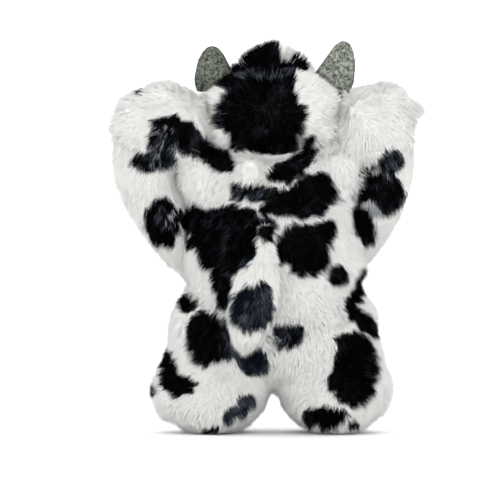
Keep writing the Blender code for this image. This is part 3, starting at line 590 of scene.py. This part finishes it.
def patch_blackness(part, places):
    """Share of black at each place: 1 in a patch, 0 in the white."""
    x, y, z = toy_mm(places).T
    for size, height, seed_across, seed_up in EDGE_WAVES:
        x = x + waves(places, size, seed_across) * height
        z = z + waves(places, size, seed_up) * height
    low, high = PART_BOXES[part]
    middle = ((low[1] + high[1]) / 2 - MIDDLE_Y) / MM
    black = np.zeros(len(places))
    for patches, way in ((BACK_PATCHES, 1.0), (FRONT_PATCHES, -1.0)):
        for at_x, at_z, half_x, half_z, turn, strength in patches.get(part, ()):
            angle = math.radians(turn)
            along = (x - at_x) * math.cos(angle) + (z - at_z) * math.sin(angle)
            over = (z - at_z) * math.cos(angle) - (x - at_x) * math.sin(angle)
            past = np.maximum(0, (y - middle) * way) / max(half_x, half_z)
            reach = np.sqrt((along / half_x) ** 2 + (over / half_z) ** 2 + past ** 2)
            edge = PATCH_EDGE if min(half_x, half_z) > SMALL_PATCH_MM else SMALL_PATCH_EDGE
            inside = smoothstep(*edge, reach)
            black = black * (1 - inside) + strength * inside
    return black


def forelock_blackness(places):
    """The forelock is black, with one white lock and a grey one."""
    x, _, z = toy_mm(places).T
    black = np.ones(len(places))
    for at_x, at_z, half_x, half_z, strength in FORELOCK_LOCKS:
        inside = ((x - at_x) / half_x) ** 2 + ((z - at_z) / half_z) ** 2 < 1
        black[inside] = strength
    return black


def coat_colours(part, places, owner=None):
    """Colour of the pile at each place, with painted sheen highlights in the dark fur, and whether it is
    dark.
    """
    count = len(places)
    if part == "muzzle":
        return np.tile(np.array(MUZZLE_PINK), (count, 1)), np.zeros(count, bool)
    black = forelock_blackness(places) if part == "forelock" else patch_blackness(part, places)
    chance = np.full(count, EVEN_CHANCE)
    tone = np.full((count, 1), BODY_TONE)
    tuft = tone
    if owner is not None:
        tuft_chance = random.uniform(0, 1, owner.max() + 1)[owner]
        chance = tuft_chance * CHANCE_SHARES[0] + random.uniform(0, 1, count) * CHANCE_SHARES[1]
        tuft = random.uniform(0, 1, owner.max() + 1)[owner][:, None]
        tone = tuft * TONE_SHARES[0] + random.uniform(0, 1, (count, 1)) * TONE_SHARES[1]
    dark = black > chance * BLACK_SPAN_SHARE + BLACK_FROM_SHARE
    white = np.array(WHITE) * (WHITE_LOW_SHARE + WHITE_RISE_SHARE * tone)
    sheen = waves(places, *SHEEN_WAVE)[:, None]
    # Painted sheen highlight: lighter strands in the black fur where random tone and the slow sheen wave are
    # high
    sheen_highlight = smoothstep(*SHEEN_HIGHLIGHT_RAMP, tone + SHEEN_HIGHLIGHT_WAVE * sheen)
    deep = np.array(BLACK) * (1 - sheen_highlight) + np.array(CHARCOAL_SHEEN_HIGHLIGHT) * sheen_highlight
    if part == "tail" or part.startswith("leg"):
        x, _, z = toy_mm(places).T
        slate_near = smoothstep(*SLATE_REACH_MM, np.hypot(x - SLATE_X_MM, np.maximum(0, z - SLATE_TOP_MM)))
        # Painted sheen highlight on the blue-grey spot: lighter strands where random tone and the sheen wave
        # are high
        light = smoothstep(*SLATE_RAMP, tone + SLATE_SHEEN * sheen)
        slate = np.array(SLATE) * (1 - light) + np.array(SLATE_LIGHT) * light
        deep = deep + (slate - deep) * slate_near[:, None]
    mixed = (black > MIXED_SHARES[0]) & (black < MIXED_SHARES[1])
    lit = smoothstep(*LIT_RAMP, tone) * mixed[:, None]
    deep = deep * (1 - lit) + np.array(SLATE_LIGHT) * lit
    grey = np.array(GREY_WHITE) * (GREY_LOW_SHARE + GREY_RISE_SHARE * tone)
    white = np.where(mixed[:, None] & (tuft < GREY_TUFT_SHARE), grey, white)
    return np.where(dark[:, None], deep, white), dark


# Directions of the pile

def lay_round(places, centre_x, centre_z):
    """Away from a line along Y."""
    way = places - np.array((MIDDLE_X + centre_x * MM, 0.0, centre_z * MM))
    way[:, 1] = 0.0
    return unit(way)


def pile_way(part, places):
    """Direction in which the pile lies, before it is laid on the surface."""
    x, _, z = toy_mm(places).T
    sign = -1.0 if part.endswith("left") else 1.0
    way = np.zeros_like(places)
    way[:, 2] = -1.0
    if part == "head":
        way = lay_round(places, *CROWN_CENTRE)
        from_centre = np.hypot(x - CROWN_CENTRE[0], z - CROWN_CENTRE[1])
        centre = smoothstep(*CROWN_REACH_MM, from_centre)[:, None]
        way = way * (1 - centre) + np.array(CROWN_WAY) * centre
    elif part == "muzzle":
        way = lay_round(places, *MUZZLE_CENTRE)
    elif part == "forelock":
        way = places - np.array((MIDDLE_X + FORELOCK_ROOT[0], places[:, 1].mean(), FORELOCK_ROOT[1]))
    elif part.startswith("upper_arm"):
        way = lay_round(places, sign * LOBE_CENTRE[0], LOBE_CENTRE[1]) + np.array(LOBE_WAY)
    elif part.startswith("forearm"):
        way[:, 0] = sign * FOREARM_OUT
        way[:, 1] = FOREARM_FORWARD
    elif part.startswith("leg"):
        way[:, 0] = sign * LEG_OUT + (x - sign * LEG_CENTRE_MM) * LEG_SPREAD
    elif part == "tail":
        way[:, 0] = (x - TAIL_CENTRE_MM) * TAIL_SPREAD
    else:
        way[:, 0] = np.tanh(x / TORSO_TURN_MM) * TORSO_OUT
    return way


# Bodies

def kept_clear(part, places):
    """Places moved out of every neighbour towards the part's own middle, with a little space."""
    space = NEIGHBOUR_SPACE_MM * MM
    middle = Vector(places.mean(0))
    order = list(PARTS)
    for other, tree in TREES.items():
        rides_with = PARTS[other]["body"] == PARTS[part]["body"]
        gives_way = other in FULLER and order.index(other) > order.index(part)
        if other == part or rides_with or gives_way or not boxes_meet(part, other, space):
            continue
        for index, place in enumerate(places):
            start = Vector(place)
            hit, normal, _, _ = tree.find_nearest(start, CLEAR_SEARCH)
            if hit is None or (start - hit).dot(normal) >= space:
                continue
            if (start - hit).dot(normal) < 0:
                way_out = tree.ray_cast(start, middle - start, CLEAR_SEARCH)
                if way_out[0] is not None:
                    hit, normal = way_out[:2]
            places[index] = hit + normal * space
    return places


def drawn_body(name, part):
    """Smooth body of a part, drawn in by its pile's depth where nothing touches it."""
    mesh = SOLIDS[part].copy()
    mesh.name = name
    places = rows_of(mesh.vertices, "co")
    normals = rows_of(mesh.vertices, "normal")
    near = np.abs(nearest_other(part, TREES, places, CONTACT_REACH))
    free = smoothstep(*CONTACT_RAMP, near)
    depth = PARTS[part]["depth"] * MM * (CONTACT_DEPTH_SHARES[0] + CONTACT_DEPTH_SHARES[1] * free)
    if part not in THIN_PARTS:
        depth = depth - summed_waves(places, BODY_LUMPS) * MM * free
    places = places - normals * depth[:, None]
    if part in FULLER:
        places = kept_clear(part, places)
    places[:, 2] = np.maximum(places[:, 2], FLOOR_SPACE_MM * 2 * MM)
    mesh.vertices.foreach_set("co", places.ravel())
    mesh.update()
    mesh.shade_smooth()
    return link(bpy.data.objects.new(name, mesh))


def painted_shade_of(dark, shares):
    """Share of its brightness that dark or white fur keeps under painted shade, one row each."""
    return np.where(dark, shares[True], shares[False])[:, None]


def set_colours(mesh, colours):
    """Store a colour on each vertex."""
    layer = mesh.color_attributes.new("Pile", "FLOAT_COLOR", "POINT")
    rows = np.ones((len(colours), 4))
    rows[:, :3] = colours
    layer.data.foreach_set("color", rows.ravel())


# Strands

def scattered_roots(mesh, per_mm2, seed):
    """Random places on a mesh with their normals, by area."""
    local = np.random.default_rng(seed)
    mesh.calc_loop_triangles()
    corners = rows_of(mesh.loop_triangles, "vertices").astype(np.int64)
    places = rows_of(mesh.vertices, "co")
    normals = rows_of(mesh.vertices, "normal")
    a, b, c = (places[corners[:, index]] for index in range(3))
    areas = np.linalg.norm(np.cross(b - a, c - a), axis=1) / 2
    count = int(areas.sum() / MM ** 2 * per_mm2)
    chosen = np.searchsorted(np.cumsum(areas) / areas.sum(), local.uniform(0, 1, count))
    chosen = np.minimum(chosen, len(areas) - 1)
    first = np.sqrt(local.uniform(0, 1, count))[:, None]
    second = local.uniform(0, 1, count)[:, None]
    shares = np.hstack((1 - first, first * (1 - second), first * second))
    place = sum(shares[:, index:index + 1] * places[corners[chosen, index]] for index in range(3))
    normal = sum(shares[:, index:index + 1] * normals[corners[chosen, index]] for index in range(3))
    return place, unit(normal)


def clumps_of(part, places):
    """Leading strand of each clump, and the clump of every strand."""
    spec = PARTS[part]
    count = len(places)
    clumps = max(int(count / (spec["clump"] ** 2 * spec["per_mm2"])), 1)
    seeds = random.choice(count, clumps, replace=False)
    tree = kdtree.KDTree(clumps)
    for index, seed in enumerate(seeds):
        tree.insert(places[seed], index)
    tree.balance()
    owner = np.array([tree.find(place)[1] for place in places])
    return seeds, owner


def tuft_length_shares(part, places):
    """How much longer the pile is at each place."""
    x, _, z = toy_mm(places).T
    shares = np.ones(len(places))
    for at_x, at_z, reach, more in TUFTS.get(part, ()):
        shares += more * smoothstep(*TUFT_RAMP_SHARES, np.hypot(x - at_x, z - at_z) / reach)
    return shares


def strands(part, places, normals, seam, seeds, owner):
    """Bend and tip of every strand of a coat; seam is 1 beside a seam and 0 away from it."""
    spec = PARTS[part]
    count = len(places)
    way = unit(pile_way(part, places))
    way = way - normals * np.sum(way * normals, axis=1, keepdims=True)
    steady = smoothstep(0.0, STEADY_SHARE, np.linalg.norm(way, axis=1))
    way = unit(way)
    over = np.cross(normals, way)
    swirl = summed_waves(places, SWIRLS)
    clump_turn = random.normal(0, CLUMP_TURN, len(seeds))[owner]
    turn = swirl + clump_turn + random.normal(0, TURN_JITTER, count)
    clump_lean = random.normal(0, CLUMP_LEAN, len(seeds))[owner]
    lift = SEAM_LIFT * seam
    kept = STANDING_SHARE + (1 - STANDING_SHARE) * steady
    root_lean = (spec["root"] * kept - lift * ROOT_LIFT_SHARE + clump_lean
                 + random.normal(0, LEAN_JITTER, count))
    tip_lean = spec["tip"] * kept - lift + clump_lean + random.normal(0, LEAN_JITTER, count)
    root_lean, tip_lean = np.radians(root_lean), np.radians(tip_lean)
    length = spec["length"] * MM * random.uniform(*LENGTH_SPREAD_SHARES, count)
    length = (length * (1 + SEAM_LENGTH_SHARE * seam) * tuft_length_shares(part, places))[:, None]
    along = way * np.cos(turn)[:, None] + over * np.sin(turn)[:, None]
    first = normals * np.cos(root_lean)[:, None] + along * np.sin(root_lean)[:, None]
    second = normals * np.cos(tip_lean)[:, None] + along * np.sin(tip_lean)[:, None]
    second = second + random.normal(0, TIP_JITTER, (count, 3))
    second[:, 2] -= DROOP
    bend = places + first * length * ROOT_PLACE_SHARE
    tip = bend + unit(second) * length * (1 - ROOT_PLACE_SHARE)
    lead = seeds[owner]
    pull = spec["gather"] * random.uniform(*GATHER_SPREAD_SHARES, count)[:, None]
    from_lead = places - places[lead]
    tip = tip * (1 - pull) + (tip[lead] + from_lead * TIP_KEPT_SHARE) * pull
    gathered = bend[lead] + from_lead * BEND_KEPT_SHARE
    bend = bend * (1 - pull * BEND_PULL_SHARE) + gathered * pull * BEND_PULL_SHARE
    for ends in (bend, tip):
        ends[:, 2] = np.maximum(ends[:, 2], FLOOR_SPACE_MM * MM)
    return bend, tip


def strand_mesh(name, roots, normals, bends, tips, colours, dark):
    """Mesh of three-sided tapered strands, each coloured from root to tip."""
    count = len(roots)
    sides = STRAND_SIDES
    rows = sides * 2 + 1
    down = unit(tips - roots)
    across = unit(np.cross(down, normals) + NUDGE)
    over = np.cross(down, across)
    spin = random.uniform(0, 2 * math.pi, count)
    places = np.empty((count, rows, 3))
    shading = np.empty((count, rows, 3))
    for index in range(sides):
        angle = spin + 2 * math.pi * index / sides
        radial = across * np.cos(angle)[:, None] + over * np.sin(angle)[:, None]
        places[:, index] = roots + radial * ROOT_RADIUS_MM * MM
        places[:, sides + index] = bends + radial * BEND_RADIUS_MM * MM
        mixed = unit(radial * (1 - NORMAL_SHARE) + normals * NORMAL_SHARE)
        shading[:, index] = mixed
        shading[:, sides + index] = mixed
    places[:, -1] = tips
    shading[:, -1] = unit(normals + down * TIP_SHADE_SHARE)
    turns = [(index, (index + 1) % sides) for index in range(sides)]
    quads = [(index, after, sides + after, sides + index) for index, after in turns]
    points = [(sides + index, sides + after, rows - 1) for index, after in turns]
    base = (np.arange(count) * rows)[:, None, None]
    quad_rows = (base + np.array(quads)[None]).reshape(-1, 4)
    point_rows = (base + np.array(points)[None]).reshape(-1, 3)
    loops = np.concatenate((quad_rows.ravel(), point_rows.ravel()))
    sizes = np.concatenate((np.full(len(quad_rows), 4), np.full(len(point_rows), 3)))
    starts = np.concatenate(((0,), np.cumsum(sizes)[:-1]))
    mesh = bpy.data.meshes.new(name)
    mesh.vertices.add(count * rows)
    mesh.vertices.foreach_set("co", places.ravel())
    mesh.loops.add(len(loops))
    mesh.loops.foreach_set("vertex_index", loops.astype(np.int32))
    mesh.polygons.add(len(sizes))
    mesh.polygons.foreach_set("loop_start", starts.astype(np.int32))
    mesh.polygons.foreach_set("loop_total", sizes.astype(np.int32))
    slots = np.tile(np.repeat(dark, sides), 2)
    mesh.polygons.foreach_set("material_index", slots.astype(np.int32))
    mesh.polygons.foreach_set("use_smooth", np.ones(len(sizes), bool))
    mesh.update(calc_edges=True)
    shade = np.empty((count, rows, 3))
    # Painted shade: the roots of the strands are darker, where the pile shades itself
    shade[:, :sides] = (colours * painted_shade_of(dark, ROOT_PAINTED_SHADE_SHARES))[:, None]
    shade[:, sides:] = colours[:, None]
    set_colours(mesh, shade.reshape(-1, 3))
    add_cells(mesh, count, loops)
    mesh.normals_split_custom_set_from_vertices(shading.reshape(-1, 3))
    return mesh


def add_cells(mesh, count, loops):
    """Layout in which every strand has its own cell of a square grid."""
    cells = int(math.ceil(math.sqrt(count)))
    corner = np.stack((np.arange(count) % cells, np.arange(count) // cells), axis=1)
    low, middle, high = CELL_SHARES
    spots = np.array([(u, v) for v in (low, middle) for u in (low, middle, high)] + [(middle, high)])
    uv = ((corner[:, None] + spots[None]) / cells).reshape(-1, 2)
    layer = mesh.uv_layers.new(name="OFBake")
    layer.data.foreach_set("uv", uv[loops].ravel())


# Materials

def shader_of(material):
    """The Principled shader of a material."""
    return material.node_tree.nodes["Principled BSDF"]


def new_material(name, roughness, specular=0.3):
    """Principled material with its fixed values set on the shader."""
    made = bpy.data.materials.new(name)
    made.use_nodes = True
    shader = shader_of(made)
    shader.inputs["Roughness"].default_value = roughness
    shader.inputs["Specular IOR Level"].default_value = specular
    return made


def noise_node(material, scale, detail, distortion=0.0):
    """Noise over the object's own places."""
    nodes = material.node_tree.nodes
    place = nodes.new("ShaderNodeTexCoord")
    noise = nodes.new("ShaderNodeTexNoise")
    noise.inputs["Scale"].default_value = scale
    noise.inputs["Detail"].default_value = detail
    noise.inputs["Distortion"].default_value = distortion
    material.node_tree.links.new(place.outputs["Object"], noise.inputs["Vector"])
    return noise


def pile_material(name, roughness, specular, variation):
    """Fur that takes its colour from the strand, with slow changes of tone."""
    made = new_material(name, roughness, specular)
    nodes = made.node_tree.nodes
    links = made.node_tree.links
    noise = noise_node(made, *PILE_NOISE)
    colour = nodes.new("ShaderNodeVertexColor")
    colour.layer_name = "Pile"
    scale = nodes.new("ShaderNodeMapRange")
    scale.inputs["To Min"].default_value = 1.0 - variation
    scale.inputs["To Max"].default_value = 1.0 + variation
    tone = nodes.new("ShaderNodeVectorMath")
    tone.operation = "SCALE"
    links.new(noise.outputs["Fac"], scale.inputs["Value"])
    links.new(colour.outputs["Color"], tone.inputs[0])
    links.new(scale.outputs["Result"], tone.inputs["Scale"])
    links.new(tone.outputs["Vector"], shader_of(made).inputs["Base Color"])
    return made


def speckled_material(name, low, high, scale, roughness, specular=0.3, relief=0.0002, edges=(0.35, 0.65)):
    """Material with two mixed tones and a fine relief."""
    made = new_material(name, roughness, specular)
    nodes = made.node_tree.nodes
    links = made.node_tree.links
    noise = noise_node(made, scale, *SPECKLE_NOISE)
    ramp = nodes.new("ShaderNodeValToRGB")
    for element, position, colour in zip(ramp.color_ramp.elements, edges, (low, high)):
        element.position = position
        element.color = (*colour, 1.0)
    bump = nodes.new("ShaderNodeBump")
    bump.inputs["Strength"].default_value = BUMP_STRENGTH
    bump.inputs["Distance"].default_value = relief
    links.new(noise.outputs["Fac"], ramp.inputs["Fac"])
    links.new(ramp.outputs["Color"], shader_of(made).inputs["Base Color"])
    links.new(noise.outputs["Fac"], bump.inputs["Height"])
    links.new(bump.outputs["Normal"], shader_of(made).inputs["Normal"])
    return made


# Making

def make_bodies(look):
    """Bodies under the fur, with their colours darkened by painted shade under the pile."""
    bodies = {}
    for part, spec in PARTS.items():
        made = drawn_body(part + "_body", part)
        colours, dark = coat_colours(part, rows_of(made.data.vertices, "co"))
        # Painted shade: the bodies show only in the pile's shade, so their colours are darker
        set_colours(made.data, colours * painted_shade_of(dark, BODY_PAINTED_SHADE_SHARES))
        made.data.materials.append(look)
        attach(made, spec["body"])
        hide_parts(*spec["nodes"])
        bodies[part] = made
    return bodies


def make_coats(bodies, looks):
    """Fur of every part, in pieces of a limited size."""
    body_trees = {part: tree_of(made.data) for part, made in bodies.items()}
    reach = SEAM_REACH_MM * MM
    for order, (part, spec) in enumerate(PARTS.items()):
        per_mm2 = spec["per_mm2"] * 1.0
        places, normals = scattered_roots(bodies[part].data, per_mm2, SEED + order)
        near = nearest_other(part, body_trees, places, reach)
        keep = near > HIDDEN_ROOT_MM * MM
        close = np.flatnonzero(~keep)
        keep[close] = ~covered(part, body_trees, places[close], normals[close], reach)
        places, normals, near = places[keep], normals[keep], near[keep]
        seam = smoothstep(reach, 0.0, near)
        seeds, owner = clumps_of(part, places)
        bends, tips = strands(part, places, normals, seam, seeds, owner)
        colours, dark = coat_colours(part, bends, owner)
        pieces = int(math.ceil(len(places) / MOST_STRANDS))
        ranks = np.argsort(places[:, 2], kind="stable")
        for index, rows in enumerate(np.array_split(ranks, pieces)):
            name = part + "_fur" + ("_" + str(index + 1) if pieces > 1 else "")
            mesh = strand_mesh(name, places[rows], normals[rows], bends[rows], tips[rows],
                               colours[rows], dark[rows])
            for look in looks:
                mesh.materials.append(look)
            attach(link(bpy.data.objects.new(name, mesh)), spec["body"])


def make_horns():
    """Felt horns with smoothed edges; the left one is darker."""
    for side, tones in HORN_TONES.items():
        name = "horn_" + side
        mesh = smoothed(merged_solid(name + "_felt", (name, name + "_filling"), HORN_VOXEL), SMOOTH_ROUNDS)
        places = rows_of(mesh.vertices, "co") + rows_of(mesh.vertices, "normal") * FELT_NAP_MM * MM
        mesh.vertices.foreach_set("co", places.ravel())
        mesh.shade_smooth()
        mesh.materials.append(speckled_material("grey_felt_" + side, **tones, **FELT_LOOK))
        made = link(bpy.data.objects.new(name + "_felt", mesh))
        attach(made, "head")
        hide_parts(name, name + "_filling")


def make_face():
    """Materials of the eyes, nostrils, mouth and washers, which stay as the solids are."""
    eye = speckled_material("black_eye", **EYE_LOOK)
    thread = speckled_material("dark_thread", **THREAD_LOOK)
    washer = speckled_material("washer_plastic", **WASHER_LOOK)
    looks = {"eye_left": eye, "eye_right": eye, "eye_washer_left": washer, "eye_washer_right": washer,
             "nostril_left": thread, "nostril_right": thread, "mouth_stitch": thread}
    for node, look in looks.items():
        mesh = frame["nodes"][node].data
        mesh.materials.clear()
        mesh.materials.append(look)


# Studio

def area_light(name, place, goal, size, power):
    """Soft square light that points at a goal."""
    data = bpy.data.lights.new(name, "AREA")
    data.shape = "SQUARE"
    data.size = size
    data.energy = power
    made = link(bpy.data.objects.new(name, data))
    made.location = place
    made.rotation_euler = (Vector(goal) - Vector(place)).to_track_quat("-Z", "Y").to_euler()
    return made


def make_studio():
    """Pale floor, soft lights and the camera."""
    scene = bpy.context.scene
    scene.view_settings.view_transform = "Standard"
    world = bpy.data.worlds.new("studio")
    world.use_nodes = True
    backdrop = world.node_tree.nodes["Background"]
    backdrop.inputs["Color"].default_value = BACKDROP_COLOUR
    backdrop.inputs["Strength"].default_value = BACKDROP_STRENGTH
    scene.world = world
    mesh = bpy.data.meshes.new("floor")
    ways = ((-1, -1), (1, -1), (1, 1), (-1, 1))
    corners = [(x * FLOOR_HALF_WIDTH, y * FLOOR_HALF_WIDTH, 0) for x, y in ways]
    mesh.from_pydata(corners, [], [(0, 1, 2, 3)])
    floor = link(bpy.data.objects.new("floor", mesh))
    pale = new_material("pale_floor", FLOOR_ROUGHNESS, FLOOR_SPECULAR)
    shader_of(pale).inputs["Base Color"].default_value = FLOOR_COLOUR
    mesh.materials.append(pale)
    goal = (MIDDLE_X, 0.0, LIGHT_GOAL_HEIGHT)
    for name, (place, power) in LIGHTS.items():
        area_light(name, place, goal, LIGHT_SIZE, power)
    data = bpy.data.cameras.new("camera")
    data.sensor_width = SENSOR_WIDTH_MM
    data.lens = data.sensor_width * CAMERA_DISTANCE / WIDTH_SEEN
    data.clip_end = FARTHEST_SEEN
    camera = link(bpy.data.objects.new("camera", data))
    camera.location = (MIDDLE_X + CAMERA_ACROSS, MIDDLE_Y - CAMERA_DISTANCE, CAMERA_HEIGHT)
    camera.rotation_euler = (math.radians(90), 0, 0)
    scene.camera = camera


# Solids, search trees and boxes of every furry part
SOLIDS = {}
TREES = {}
PART_BOXES = {}
for part_name, part_spec in PARTS.items():
    voxel_size = (THIN_VOXEL_MM if part_name in THIN_PARTS else VOXEL_MM) * MM
    solid = merged_solid(part_name, part_spec["nodes"], voxel_size, FULLER.get(part_name, ()))
    SOLIDS[part_name] = smoothed(solid, SMOOTH_ROUNDS)
    TREES[part_name] = tree_of(solid)
    corner_places = rows_of(solid.vertices, "co")
    PART_BOXES[part_name] = (corner_places.min(0), corner_places.max(0))

white_pile = pile_material("white_pile", **WHITE_PILE)
black_pile = pile_material("black_pile", **BLACK_PILE)
parts_made = make_bodies(white_pile)
make_coats(parts_made, (white_pile, black_pile))
make_horns()
make_face()
make_studio()
